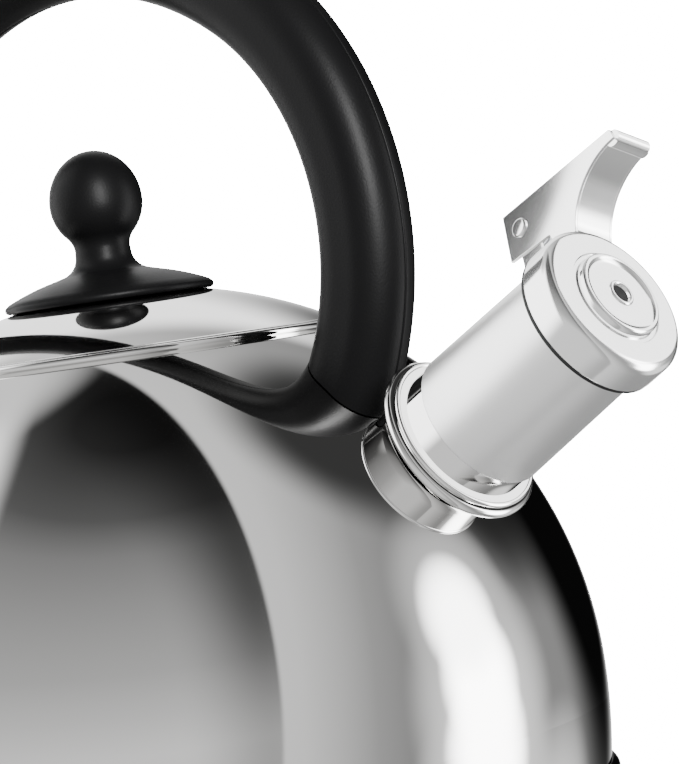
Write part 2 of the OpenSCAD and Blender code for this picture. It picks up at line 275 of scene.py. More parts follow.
def plate(name, outlines, thickness, edge, offset_y, place):
    """Flat sheet across the hinge axis: outlines of (along spout, from axis), holes included."""
    curve = bpy.data.curves.new(name, "CURVE")
    curve.dimensions = "2D"
    curve.fill_mode = "BOTH"
    curve.extrude = (thickness / 2 - edge) * MM
    curve.bevel_depth = edge * MM
    curve.bevel_resolution = 2
    curve.offset = -edge * MM
    for outline in outlines:
        spline = curve.splines.new("POLY")
        spline.points.add(len(outline) - 1)
        for point, (t, h) in zip(spline.points, outline):
            point.co = (h * MM, t * MM, 0, 1)
        spline.use_cyclic_u = True
    source = bpy.data.objects.new(name + "_curve", curve)
    bpy.context.scene.collection.objects.link(source)
    bpy.context.view_layer.update()
    mesh = bpy.data.meshes.new_from_object(source)
    bpy.data.objects.remove(source)
    # the sheet is drawn in local (x, z): x away from the spout axis, z along it
    mesh.transform(Matrix(((1, 0, 0, 0), (0, 0, -1, offset_y * MM), (0, 1, 0, 0), (0, 0, 0, 1))))
    bm = bmesh.new()
    bm.from_mesh(mesh)
    bmesh.ops.remove_doubles(bm, verts=bm.verts, dist=1e-7)
    bmesh.ops.recalc_face_normals(bm, faces=bm.faces)
    bm.to_mesh(mesh)
    bm.free()
    shade(mesh, 12)
    obj = bpy.data.objects.new(name, mesh)
    bpy.context.scene.collection.objects.link(obj)
    obj.matrix_world = place
    return obj


def joined(name, objects):
    """One object from several with the same placement."""
    bpy.ops.object.select_all(action="DESELECT")
    for obj in objects:
        obj.select_set(True)
    bpy.context.view_layer.objects.active = objects[0]
    bpy.ops.object.join()
    objects[0].name = name
    return objects[0]


def cut(obj, tools, sharp=34):
    """Boolean difference, with the cutting objects removed afterwards."""
    for tool in tools:
        modifier = obj.modifiers.new("cut", "BOOLEAN")
        modifier.operation = "DIFFERENCE"
        modifier.solver = "EXACT"
        modifier.object = tool
    bpy.context.view_layer.update()
    graph = bpy.context.evaluated_depsgraph_get()
    mesh = bpy.data.meshes.new_from_object(obj.evaluated_get(graph))
    obj.modifiers.clear()
    obj.data = mesh
    for tool in tools:
        bpy.data.objects.remove(tool)
    shade(mesh, sharp)
    return obj


def cylinder(r, low, high, place):
    return lathe("tool", [(0, low), (r, low), (r, high), (0, high)], place, 96)


def block(size, place):
    """Box of the given size, centred on the placement."""
    x, y, z = [s / 2 for s in size]
    corners = [(i, j, k) for i in (-x, x) for j in (-y, y) for k in (-z, z)]
    faces = [(0, 1, 3, 2), (4, 6, 7, 5), (0, 4, 5, 1), (2, 3, 7, 6), (0, 2, 6, 4), (1, 5, 7, 3)]
    mesh = bpy.data.meshes.new("tool")
    mesh.from_pydata(corners, [], faces)
    return finish_mesh("tool", mesh, place)


def true_sphere_normals(obj, centre, radius):
    """Exact normals on the faces of obj that lie on a sphere (in mm), which keeps reflections clean."""
    mesh = obj.data
    normals = [Vector(n.vector) for n in mesh.corner_normals]
    for face in mesh.polygons:
        middle = Vector(face.center) / MM - centre
        if abs(middle.length - radius) < 0.05:
            for i in face.loop_indices:
                point = Vector(mesh.vertices[mesh.loops[i].vertex_index].co) / MM - centre
                normals[i] = point.normalized()
    mesh.normals_split_custom_set(normals)


# ---- materials ----


class Nodes:
    """Short forms for building a material's node tree."""

    def __init__(self, tree):
        self.tree = tree

    def add(self, kind, **values):
        node = self.tree.nodes.new(kind)
        for key, value in values.items():
            setattr(node, key, value)
        return node

    def link(self, a, b):
        self.tree.links.new(a, b)

    def math(self, operation, a, b=0.0):
        node = self.add("ShaderNodeMath", operation=operation)
        for socket, value in zip(node.inputs, (a, b)):
            if isinstance(value, (int, float)):
                socket.default_value = value
            else:
                self.link(value, socket)
        return node.outputs[0]

    def noise(self, vector, scale, detail=3.0, stretch=(1, 1, 1)):
        mapping = self.add("ShaderNodeMapping")
        mapping.inputs["Scale"].default_value = stretch
        self.link(vector, mapping.inputs["Vector"])
        noise = self.add("ShaderNodeTexNoise")
        noise.inputs["Scale"].default_value = scale
        noise.inputs["Detail"].default_value = detail
        self.link(mapping.outputs[0], noise.inputs["Vector"])
        return noise.outputs["Fac"]

    def between(self, value, low, high, start=0.0, end=1.0, smooth=False):
        """Value from start..end mapped to low..high."""
        node = self.add("ShaderNodeMapRange")
        if smooth:
            node.interpolation_type = "SMOOTHSTEP"
        self.link(value, node.inputs["Value"])
        for key, number in zip(("From Min", "From Max", "To Min", "To Max"), (start, end, low, high)):
            node.inputs[key].default_value = number
        return node.outputs[0]


def material(name, color, metallic, roughness):
    mat = bpy.data.materials.new(name)
    mat.use_nodes = True
    nodes = Nodes(mat.node_tree)
    shader = mat.node_tree.nodes["Principled BSDF"]
    shader.inputs["Base Color"].default_value = (*color, 1)
    shader.inputs["Metallic"].default_value = metallic
    shader.inputs["Roughness"].default_value = roughness
    where = nodes.add("ShaderNodeTexCoord").outputs["Object"]
    return mat, nodes, shader, where


def bump(nodes, shader, height, strength, depth):
    node = nodes.add("ShaderNodeBump")
    node.inputs["Strength"].default_value = strength
    node.inputs["Distance"].default_value = depth
    nodes.link(height, node.inputs["Height"])
    nodes.link(node.outputs[0], shader.inputs["Normal"])


def polished_steel():
    """Mirror finish with faint wipe marks and polishing lines."""
    mat, nodes, shader, where = material("polished_steel", (0.80, 0.795, 0.785), 1.0, 0.03)
    smudge = nodes.noise(where, 26, 4)
    lines = nodes.noise(where, 900, 2, (1, 1, 0.06))
    wiped = nodes.between(smudge, 0.012, 0.05, 0.35, 0.75)
    rough = nodes.math("ADD", wiped, nodes.between(lines, 0, 0.02))
    nodes.link(rough, shader.inputs["Roughness"])
    bump(nodes, shader, nodes.noise(where, 1500, 2, (1, 1, 0.15)), 0.02, 0.00001)
    return mat


def base_steel():
    """Turned underside: fine rings round the kettle axis."""
    mat, nodes, shader, where = material("base_steel", (0.66, 0.655, 0.645), 1.0, 0.24)
    rings = nodes.add("ShaderNodeTexWave", wave_type="RINGS", rings_direction="Z")
    rings.inputs["Scale"].default_value = 320
    rings.inputs["Distortion"].default_value = 0.6
    nodes.link(where, rings.inputs["Vector"])
    nodes.link(nodes.between(nodes.noise(where, 60, 3), 0.18, 0.32), shader.inputs["Roughness"])
    bump(nodes, shader, rings.outputs["Fac"], 0.12, 0.00004)
    return mat


def brushed_sleeve():
    """Satin sleeve, brushed round its own axis."""
    mat, nodes, shader, where = material("brushed_sleeve", (0.88, 0.88, 0.875), 0.85, 0.3)
    grain = nodes.noise(where, 110, 3, (1, 1, 30))
    nodes.link(nodes.between(grain, 0.28, 0.36), shader.inputs["Roughness"])
    shader.inputs["Anisotropic"].default_value = 0.4
    tangent = nodes.add("ShaderNodeTangent", direction_type="RADIAL", axis="Z")
    nodes.link(tangent.outputs[0], shader.inputs["Tangent"])
    bump(nodes, shader, grain, 0.08, 0.00001)
    return mat


def chrome_trim():
    mat, nodes, shader, where = material("chrome_trim", (0.88, 0.88, 0.875), 1.0, 0.08)
    nodes.link(nodes.between(nodes.noise(where, 70, 4), 0.05, 0.12), shader.inputs["Roughness"])
    bump(nodes, shader, nodes.noise(where, 800, 2), 0.03, 0.00001)
    return mat


def satin_chrome():
    """Light satin plating of the flip cap and its lever."""
    mat, nodes, shader, where = material("satin_chrome", (0.93, 0.93, 0.925), 0.88, 0.12)
    nodes.link(nodes.between(nodes.noise(where, 70, 4), 0.09, 0.15), shader.inputs["Roughness"])
    bump(nodes, shader, nodes.noise(where, 900, 2), 0.03, 0.00001)
    return mat


def black_handle():
    """Phenolic moulding: satin black with a fine spark-eroded grain and light wear."""
    mat, nodes, shader, where = material("black_handle", (0.002, 0.002, 0.0021), 0.0, 0.36)
    shader.inputs["Specular IOR Level"].default_value = 0.4
    shader.inputs["IOR"].default_value = 1.14
    wear = nodes.noise(where, 18, 5)
    nodes.link(nodes.between(wear, 0.34, 0.46, 0.3, 0.7), shader.inputs["Roughness"])
    grain = nodes.noise(where, 1700, 2)
    bump(nodes, shader, grain, 0.4, 0.00008)
    return mat


def sooty_steel():
    """Unpolished steel for the inside of the whistle, coloured near black as painted shade so that the
    hole reads dark.
    """
    mat, nodes, shader, where = material("sooty_steel", (0.03, 0.03, 0.03), 0.6, 0.6)
    nodes.link(nodes.between(nodes.noise(where, 200, 3), 0.5, 0.7), shader.inputs["Roughness"])
    return mat


def black_rubber():
    mat, nodes, shader, where = material("black_rubber", (0.014, 0.014, 0.014), 0.0, 0.75)
    bump(nodes, shader, nodes.noise(where, 900, 3), 0.3, 0.00005)
    return mat


def zinc_fastener():
    mat, nodes, shader, where = material("zinc_fastener", (0.55, 0.56, 0.58), 1.0, 0.3)
    nodes.link(nodes.between(nodes.noise(where, 300, 4), 0.22, 0.4), shader.inputs["Roughness"])
    bump(nodes, shader, nodes.noise(where, 1200, 2), 0.1, 0.00002)
    return mat


finishes = {
    "polished_steel": polished_steel(),
    "base_steel": base_steel(),
    "brushed_sleeve": brushed_sleeve(),
    "chrome_trim": chrome_trim(),
    "satin_chrome": satin_chrome(),
    "black_handle": black_handle(),
    "sooty_steel": sooty_steel(),
    "black_rubber": black_rubber(),
    "zinc_fastener": zinc_fastener(),
}


def coat(obj, slot):
    obj.data.materials.clear()
    obj.data.materials.append(finishes[slot])
    return obj


def piece(obj, body, slot, *nodes):
    """Finish a detailed piece that stands for CAD nodes."""
    coat(obj, slot)
    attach(obj, body)
    if nodes:
        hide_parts(*nodes)
    return obj


# ---- kettle body ----


def dome_half(offset):
    """Outer curve of the body from the mouth edge to the bottom, moved in by offset."""
    r = body_r - offset
    top = math.degrees(math.acos(mouth_edge_r / r))
    low = -math.degrees(math.asin((body_mid_z - body_bottom_z) / (flank_r - offset)))
    points = arc(0, body_mid_z, r, top, 0, 0.8)
    return points + arc(flank_x, body_mid_z, flank_r - offset, 0, low, 0.8)[1:]


def body_shell():
    shell = lathe("body_shell_looks", dome_half(0) + dome_half(wall)[::-1], steps=384)
    bore = cylinder(neck_r - wall, -40, 20, on_whistle)
    cut(shell, [bore])
    true_sphere_normals(shell, Vector((0, 0, body_mid_z)), body_r)
    return piece(shell, "kettle", "polished_steel", "body_shell")


def base_pieces():
    corner_x = 97.0
    corner_z = 13.3
    corner_r = corner_z - disc_t
    outer = arc(corner_x, corner_z, corner_r, -90, -3, 2)
    inner = arc(corner_x, corner_z, corner_r - wall, -3, -90, 2)
    pan = lathe("base_pan_looks", [(0, disc_t)] + outer + inner + [(0, disc_t + wall)])
    piece(pan, "kettle", "polished_steel", "base_pan")
    grooves = []
    for r in range(20, 81, 12):
        grooves += [(r - 0.5, 0.0, 0.1), (r - 0.2, 0.35, 0.2), (r + 0.2, 0.35, 0.2), (r + 0.5, 0.0, 0.1)]
    outline = [(0, 0, 0)] + grooves + [(disc_r - 0.2, 0, 0.8), (disc_r, disc_t, 0.2), (0, disc_t, 0)]
    disc = lathe("base_disc_looks", rounded(outline))
    piece(disc, "kettle", "base_steel", "base_disc")
    seam = lathe("base_seam_looks", arc(seam_x, seam_z, seam_r, 0, 352, 8))
    piece(seam, "kettle", "polished_steel", "base_seam")


def mouth_collar():
    lip_r = 0.9
    lip_x = mouth_edge_r + 0.55
    lip_z = curve_height(body_mid_z, body_r + lip_r, lip_x) - 0.25
    low = [
        (mouth_r, 119, 0.3),
        (mouth_r + wall, 119, 0.3),
        (mouth_r + wall, seat_z - wall, 0.5),
        (mouth_edge_r - 0.3, seat_z - wall, 0.3),
    ]
    bead = arc(lip_x, lip_z, lip_r, -60, 215, 12)
    inner = [(lip_x - 0.75, seat_z), (mouth_r + 0.4, seat_z), (mouth_r, seat_z - 0.4)]
    outline = rounded(low, closed=False) + [(mouth_edge_r + 0.15, seat_z - wall)] + bead + inner
    collar = lathe("mouth_collar_looks", outline, steps=256)
    return piece(collar, "kettle", "polished_steel", "mouth_collar")


def neck_foot(angle):
    """Height on the spout axis where the neck meets the dome, at one angle round the axis."""
    centre = Vector((0, 0, body_mid_z * MM))
    low, high = -40.0, 0.0
    for _ in range(40):
        middle = (low + high) / 2
        point = on_whistle @ Vector(
            (neck_r * math.cos(angle) * MM, neck_r * math.sin(angle) * MM, middle * MM)
        )
        if (point - centre).length > body_r * MM:
            high = middle
        else:
            low = middle
    return high


def spout_neck():
    inner_r = neck_r - wall
    flare = rounded(
        [(neck_r, neck_end, 0), (neck_r + 0.1, flare_start, 9), (bead_mid_r + 0.2, -1.15, 0)],
        closed=False,
    )
    bead = arc(bead_mid_r, 0, bead_r, -75, 200, 8)
    inside = rounded(
        [(bead_mid_r - 1.2, -1.0, 0), (inner_r, flare_start, 7), (inner_r, neck_end, 0)],
        closed=False,
    )
    neck = lathe("spout_neck_looks", flare + bead + inside, on_whistle, 256)
    ball = lathe("tool", arc(0, body_mid_z, body_r - 0.35, -90, 90, 1), upright, 384)
    cut(neck, [ball])
    piece(neck, "kettle", "polished_steel", "spout_neck")
    turns = [2 * math.pi * k / 160 for k in range(160)]
    seam = [(neck_r * math.cos(a), neck_r * math.sin(a), neck_foot(a)) for a in turns]
    weld = tube("neck_weld", seam, 0.55, True, on_whistle, 14)
    return piece(weld, "kettle", "polished_steel")


# ---- handle ----


def path_point(centre_x, centre_z, r, angle):
    return centre_x + r * math.cos(angle), centre_z + r * math.sin(angle)


def arch_point(t, n, y):
    """Point of the arch: t is 0 at the front foot and 1 at the rear foot, n is the depth."""
    join = math.atan2(4, 3)
    sweep = math.radians(44) + join
    top = math.pi - 2 * join
    side_len = side_arc_r * sweep
    top_len = (side_arc_r + side_arc_x * 5 / 3) * top
    s = t * (2 * side_len + top_len)
    if s < side_len:
        a = join - (side_len - s) / side_arc_r
        x, z = path_point(side_arc_x, side_arc_z, side_arc_r + n, a)
    elif s < side_len + top_len:
        r = side_arc_r + side_arc_x * 5 / 3
        a = join + (s - side_len) / r
        x, z = path_point(0, side_arc_z - side_arc_x * 4 / 3, r + n, a)
    else:
        a = math.pi - join + (s - side_len - top_len) / side_arc_r
        x, z = path_point(-side_arc_x, side_arc_z, side_arc_r + n, a)
    return Vector((x, y, z))


def foot_limit(n, y):
    """Share of the arch where a line along it leaves the dome."""
    centre = Vector((0, 0, body_mid_z))
    low, high = 0.0, 0.3
    for _ in range(40):
        middle = (low + high) / 2
        if (arch_point(middle, n, y) - centre).length < body_r + foot_gap:
            low = middle
        else:
            high = middle
    return high


def half_grip_outline():
    """Half of the grip section as (depth, across), with a softened edge at the parting plane."""
    gap = 0.05
    soft = 0.45
    out = [(-grip_half_w - grip_stretch + soft, gap)]
    out += arc(-grip_half_w - grip_stretch + soft, gap + soft, soft, -90, -180, 22)[1:]
    out += arc(-grip_stretch, 0, grip_half_w, 177, 90, 5)[1:]
    out += [(-grip_stretch / 2, grip_half_w), (0, grip_half_w), (grip_stretch / 2, grip_half_w)]
    mirrored = [(-n, y) for n, y in out[::-1]]
    return out[:-1] + mirrored


def handle_half(name, side, node):
    section = half_grip_outline()
    count = len(section)
    stations = 220
    limits = [foot_limit(n, y) for n, y in section]
    verts = []
    faces = []
    for i in range(stations + 1):
        share = i / stations
        for (n, y), low in zip(section, limits):
            t = low + (1 - 2 * low) * share
            point = arch_point(t, n, y)
            verts.append((point.x, point.y * side, point.z))
    for i in range(stations):
        for k in range(count):
            j = (k + 1) % count
            a = i * count
            b = (i + 1) * count
            faces.append((a + k, a + j, b + j, b + k))
    for row in (0, stations):
        low = foot_limit(0, 4)
        middle = arch_point(low if row == 0 else 1 - low, 0, 4)
        verts.append((middle.x, middle.y * side, middle.z))
        hub = len(verts) - 1
        faces += [(row * count + k, row * count + (k + 1) % count, hub) for k in range(count)]
    mesh = bpy.data.meshes.new(name)
    mesh.from_pydata(verts, [], faces)
    half = finish_mesh(name, mesh, sharp=40)
    tools = []
    for end in (1, -1):
        foot = foot_place(end)
        tools.append(block((16, 8, 39), foot @ Matrix.Translation((0, 0, -10.5 * MM))))
        if side > 0:
            bore = foot @ Matrix.Rotation(-math.pi / 2, 4, "X")
            tools.append(cylinder(3.4, grip_half_w - 1.9, 20, bore))
    cut(half, tools, 40)
    return piece(half, "kettle", "black_handle", node)


def foot_place(end):
    """Frame at one foot: local z runs up the leg, local y across it."""
    along = Vector((math.sin(foot_angle), 0, math.cos(foot_angle)))
    out = Vector((math.cos(foot_angle), 0, -math.sin(foot_angle)))
    x = side_arc_x + side_arc_r * math.cos(foot_angle)
    z = side_arc_z - side_arc_r * math.sin(foot_angle)
    if end < 0:
        along.x = -along.x
        out.x = -out.x
        x = -x
    across = along.cross(out)
    return placed(out, across, along, Vector((x * MM, 0, z * MM)))


def handle_screws():
    """Pan-head clamp screws with a cross recess, sunk in the +Y side."""
    for end in (1, -1):
        turn = Matrix.Rotation(-math.pi / 2, 4, "X")
        place = foot_place(1) @ turn if end > 0 else foot_place(-1) @ turn
        if place.to_3x3().col[2].y < 0:
            place = place @ Matrix.Rotation(math.pi, 4, "X")
        head_low = grip_half_w - 1.85
        outline = rounded(
            [
                (0, -7.5, 0),
                (1.2, -7.5, 0.2),
                (1.5, -7.1, 0.2),
                (1.5, head_low, 0.1),
                (3.1, head_low, 0.15),
                (3.1, grip_half_w - 0.35, 0.7),
                (0, grip_half_w - 0.3, 0),
            ]
        )
        screw = lathe(f"clamp_screw_{'front' if end > 0 else 'rear'}", outline, place, 64)
        at_head = Matrix.Translation((0, 0, 8.95 * MM))
        slots = []
        for a in (0.4, 0.4 + math.pi / 2):
            slots.append(block((4, 0.7, 1.6), place @ Matrix.Rotation(a, 4, "Z") @ at_head))
        cut(screw, slots)
        piece(screw, "kettle", "zinc_fastener")
    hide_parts("handle_screws")


# ---- lid ----


def lid_pieces():
    top = 90 - math.degrees(math.asin((rim_x - 0.3) / lid_curve_r))
    start = 90 - math.degrees(math.asin(2.1 / lid_curve_r))
    outer = arc(0, lid_curve_z, lid_curve_r, start, top, 0.5)
    inner = arc(0, lid_curve_z, lid_curve_r - wall, top, start, 0.5)
    shell = lathe("lid_shell_looks", outer + inner, steps=384)
    piece(shell, "lid", "polished_steel", "lid_shell")
    rim_r = 1.25
    rim_z = seat_z + 0.3 + rim_r
    roll = arc(rim_x, rim_z, rim_r, 90, -250, 9)
    rim = lathe("lid_rim_looks", roll + [(rim_x - 0.25, rim_z + 0.6)], steps=256)
    piece(rim, "lid", "polished_steel", "lid_rim")
    outside = mouth_r - 0.3
    inside = outside - 0.9
    top_out = curve_height(lid_curve_z, lid_curve_r - wall - 0.02, outside)
    top_in = curve_height(lid_curve_z, lid_curve_r - wall - 0.02, inside)
    skirt_low = 119.5
    outline = [
        (inside, skirt_low, 0.35),
        (outside, skirt_low, 0.35),
        (outside, top_out, 0),
        (inside, top_in, 0),
    ]
    skirt = lathe("lid_skirt_looks", rounded(outline), steps=256)
    piece(skirt, "lid", "polished_steel", "lid_skirt")


def lid_knob():
    """Egg-shaped ball, concave waist and crowned flange."""
    crown_r = 58.5
    crown_z = 91.5
    edge_r = 1.05
    edge_z = 141.95 + edge_r
    flange_x = knob_flange_r - edge_r
    ball_z = knob_z - 0.6
    ball_height = 12.9
    throat = 5.0
    throat_x = knob_waist_r - 0.1 + throat
    throat_z = ball_z - math.sqrt((knob_r + throat) ** 2 - throat_x**2)
    meet = math.degrees(math.atan2(throat_z - ball_z, throat_x))
    fillet = 5.0
    fillet_x = knob_waist_r + fillet
    round_top = arc(0, ball_z, knob_r, 90, 0, 3)
    top = [(x, ball_z + (z - ball_z) * ball_height / knob_r) for x, z in round_top]
    low = arc(0, ball_z, knob_r, 0, meet, 3)[1:]
    throat_arc = arc(throat_x, throat_z, throat, 180 + meet, 180, 6)[1:]
    waist = arc(fillet_x, 154, fillet, 180, 258, 5)
    crown_start = 90 - math.degrees(math.asin(13.6 / crown_r))
    crown_end = 90 - math.degrees(math.asin(flange_x / crown_r))
    crown = arc(0, crown_z, crown_r, crown_start, crown_end, 1.5)
    edge = arc(flange_x, edge_z, edge_r, 60, -80, 10)
    under = [
        (flange_x, curve_height(lid_curve_z, lid_curve_r + 0.3, flange_x)),
        (8, curve_height(lid_curve_z, lid_curve_r + 0.3, 8)),
        (2.05, curve_height(lid_curve_z, lid_curve_r + 0.02, 2.05)),
        (2.05, 158),
        (0, 158),
    ]
    outline = top + low + throat_arc + waist + crown + edge + under
    knob = lathe("lid_knob_looks", outline, steps=256, sharp=40)
    return piece(knob, "lid", "black_handle", "lid_knob")


# ---- whistle ----


def whistle_tube():
    low = [(plug_r - 0.9, -16, 0.3), (plug_r, -16, 0.3), (plug_r, -9, 0), (plug_r - 0.5, -9, 0)]
    low += [(plug_r - 0.5, -6, 0), (plug_r, -6, 0), (plug_r, shoulder_t - 0.4, 0.5)]
    shoulder = arc(shoulder_mid_r, shoulder_t, shoulder_r, -140, 140, 12)
    high = [
        (insert_r, shoulder_t + 0.4, 0.6),
        (insert_r, sleeve_start + 0.75, 0),
        (liner_r, sleeve_start + 0.75, 0),
        (liner_r, sleeve_end - 0.4, 0.2),
        (liner_r - 0.7, sleeve_end - 0.4, 0.2),
        (liner_r - 0.7, sleeve_start, 0),
        (insert_r - 0.9, sleeve_start, 0),
        (insert_r - 0.9, shoulder_t + 0.4, 0),
        (plug_r - 0.9, shoulder_t + 0.4, 0),
    ]
    outline = rounded(low, closed=False) + shoulder + rounded(high, closed=False)
    body = lathe("whistle_tube_looks", outline, on_whistle, 192)
    return piece(body, "whistle", "polished_steel", "whistle_tube")


def whistle_sleeve():
    step_t = sleeve_start + 0.85
    outline = rounded(
        [
            (insert_r + 0.05, sleeve_start, 0.1),
            (sleeve_low_r, sleeve_start, 0.3),
            (sleeve_top_r, sleeve_end, 0.45),
            (liner_r + 0.05, sleeve_end, 0.2),
            (liner_r + 0.05, step_t, 0),
            (insert_r + 0.05, step_t, 0),
        ]
    )
    sleeve = lathe("whistle_sleeve_looks", outline, on_whistle, 256)
    return piece(sleeve, "whistle", "brushed_sleeve", "whistle_sleeve")


def hinge_bracket():
    """Two ears round the rivet, on a strip that is welded to the sleeve."""
    ears = []
    foot = 16.6
    ear = arc(pivot_t, pivot_h, ear_r, -10, 190, 8)
    ear += [(pivot_t - ear_r, foot), (pivot_t + 4, foot)]
    for side in (-1, 1):
        ears.append(plate("ear", [ear], sheet, 0.12, side * (ear_y + sheet / 2), on_whistle))
    low_t = pivot_t - ear_r
    high_t = pivot_t + 3.9
    strip_h = 18.2
    strip = [(low_t, foot), (high_t, foot), (high_t, strip_h), (low_t, strip_h)]
    ears.append(plate("strip", [strip], 2 * ear_y, 0.1, 0, on_whistle))
    return piece(joined("hinge_bracket_looks", ears), "whistle", "satin_chrome", "hinge_bracket")


def hinge_rivet():
    """Shank across the hinge with two flat, rounded heads."""
    head_y = lever_w / 2 + 0.04
    head = rounded(
        [(0, head_y + 1.05, 0), (1.9, head_y + 0.95, 0.4), (2.25, head_y + 0.6, 0.3), (2.25, head_y, 0)],
        closed=False,
    )
    outline = head + [(rivet_r, head_y)] + [(rivet_r, -head_y)] + [(r, -y) for r, y in head[::-1]]
    at_pivot = on_whistle @ Matrix.Translation((pivot_h * MM, 0, pivot_t * MM))
    across = at_pivot @ Matrix.Rotation(-math.pi / 2, 4, "X")
    rivet = lathe("hinge_rivet_looks", outline, across, 64, 40)
    return piece(rivet, "whistle", "satin_chrome", "hinge_rivet")


def hinge_spring():
    """Torsion spring: a wire helix round the rivet with two straight legs."""
    coil_r = 2.35
    turns = 4.25
    width = 5.0
    steps = 150
    leg_h = pivot_h - coil_r
    points = [(leg_h, width / 2, pivot_t + 13), (leg_h, width / 2, pivot_t + 4)]
    for i in range(steps + 1):
        a = math.pi - 2 * math.pi * turns * i / steps
        y = width / 2 - width * i / steps
        points.append((pivot_h + coil_r * math.cos(a), y, pivot_t + coil_r * math.sin(a)))
    leg_t = pivot_t - coil_r
    points += [(leg_h - 2, -width / 2, leg_t), (sleeve_low_r + 2, -width / 2, leg_t)]
    spring = tube("hinge_spring_looks", points, 0.42, False, on_whistle, 12)
    return piece(spring, "whistle", "zinc_fastener", "hinge_spring")


# ---- cap ----


def whistle_cap():
    """Pressed cap with a rounded front edge and a groove round the button."""
    inner_r = cap_r - wall
    inner_round = cap_round - wall
    round_x = cap_r - cap_round
    round_z = cap_front - cap_round
    groove_z = cap_front - 0.45
    edge = [(inner_r, cap_back, 0), (cap_r, cap_back, 0.3), (cap_r, round_z, 0)]
    outline = rounded(edge, closed=False)
    outline += arc(round_x, round_z, cap_round, 0, 90, 5)[1:]
    outline += rounded(
        [
            (face_r + 1.3, cap_front, 0.15),
            (face_r + 1.1, groove_z, 0.15),
            (face_r + 0.2, groove_z, 0.1),
            (face_r - 0.1, cap_front - 0.02, 0.05),
            (face_r - 1.6, cap_front - 0.02, 0.05),
            (face_r - 1.6, cap_front - wall, 0.05),
        ],
        closed=False,
    )
    outline += arc(round_x, round_z, inner_round, 90, 0, 8)
    cap = lathe("whistle_cap_looks", outline, on_whistle, 256)
    return piece(cap, "cap", "satin_chrome", "whistle_cap")


def whistle_face():
    """Button raised on the cap: undercut wall, rolled rim, shallow dish and a beaded hole."""
    rim_r = 0.8
    rim_x = face_r - rim_r
    rim_z = cap_front + 1.3
    dish_x = face_r - 2.6
    dish_z = cap_front + 1.45
    bead = 0.5
    bead_x = hole_r + bead
    bead_z = cap_front + 1.7
    outline = rounded(
        [
            (rim_x - 0.4, cap_front + 0.02, 0),
            (face_r - 0.6, cap_front + 0.02, 0),
            (face_r - 0.6, cap_front + 0.45, 0.15),
            (face_r, cap_front + 0.7, 0.2),
        ],
        closed=False,
    )
    outline += arc(rim_x, rim_z, rim_r, 0, 122, 8)
    outline += rounded(
        [
            (dish_x + 0.5, dish_z, 0),
            (dish_x - 0.4, dish_z, 1.2),
            (bead_x + 1.6, bead_z + 0.1, 2.5),
            (bead_x + 0.5, bead_z, 0),
        ],
        closed=False,
    )
    outline += arc(bead_x, bead_z, bead, 20, 180, 15)
    outline += [(hole_r, cap_front + 1.3), (rim_x - 0.8, cap_front + 0.9)]
    face = lathe("whistle_face_looks", outline, on_whistle, 192)
    return piece(face, "cap", "satin_chrome", "whistle_face")


def cap_lever():
    """Pressed channel: two kite-shaped sides, a hollow front web and a rolled thumb lip."""
    side_h = 18.1
    end_t = lip_t + 0.6
    arc_start = math.degrees(math.acos((end_t - web_t) / web_r))
    arc_end = 180 - math.degrees(math.asin((side_h - web_h) / web_r))
    side = rounded(
        [
            (cap_back + 0.3, side_h, 0.1),
            (cap_back - 0.7, 22.9, 0.6),
            (33.7, 24.6, 0.3),
            (34.4, 37.3, 0.4),
            (lip_t, lip_h + 1.5, 0.9),
            (end_t, lip_h - 1.4, 0.1),
        ],
        closed=False,
    )
    side += arc(web_t, web_h, web_r, arc_start, arc_end, 3)
    hole = arc(pivot_t, pivot_h, rivet_r + 0.06, 0, 352, 8)
    parts = []
    for sign in (-1, 1):
        middle_y = sign * (lever_w - sheet) / 2
        parts.append(plate("side", [side, hole], sheet, 0.14, middle_y, on_whistle))
    between_sides = lever_w - 2 * sheet + 0.1
    web_end = 180 - math.degrees(math.asin((side_h + 0.6 - web_h) / (web_r + sheet)))
    web = arc(web_t, web_h, web_r, arc_start, web_end, 3)
    web += arc(web_t, web_h, web_r + sheet, web_end, arc_start + 4, 3)
    parts.append(plate("web", [web], between_sides, 0.02, 0, on_whistle))
    roll_t = lip_t - 0.3
    roll_h = lip_h - 0.7
    lip = arc(roll_t, roll_h, lip_r, -40, 302, 6)
    lip += arc(roll_t, roll_h, lip_r - 0.9, 302, 320, 18)
    parts.append(plate("lip", [lip], between_sides, 0.02, 0, on_whistle))
    return piece(joined("cap_lever_looks", parts), "cap", "satin_chrome", "cap_lever")


def cap_gasket():
    """Rubber ring behind the cap; its black edge shows between the cap and the sleeve."""
    inner = liner_r - 0.9
    rear = cap_back - 0.95
    plug_x = cap_r - wall - 0.05
    outline = rounded(
        [
            (inner, rear, 0.2),
            (cap_r - 0.1, rear, 0.25),
            (cap_r - 0.1, cap_back - 0.01, 0.1),
            (plug_x, cap_back - 0.01, 0),
            (plug_x, cap_back + 1, 0.2),
            (inner, cap_back + 1, 0.2),
        ]
    )
    gasket = lathe("cap_gasket_looks", outline, on_whistle)
    return piece(gasket, "cap", "black_rubber", "cap_gasket")


# ---- nodes shown as the CAD has them ----

cad_finishes = {
    "bracket_front": "polished_steel",
    "bracket_rear": "polished_steel",
    "bracket_studs": "zinc_fastener",
    "knob_screw": "zinc_fastener",
    "knob_washer": "zinc_fastener",
    "plug_seal": "black_rubber",
    # the back plate inside the whistle is near black: painted shade for the recess behind the hole
    "whistle_back_plate": "sooty_steel",
}


def coat_cad_nodes():
    for name, slot in cad_finishes.items():
        coat(frame["nodes"][name], slot)


# ---- studio ----


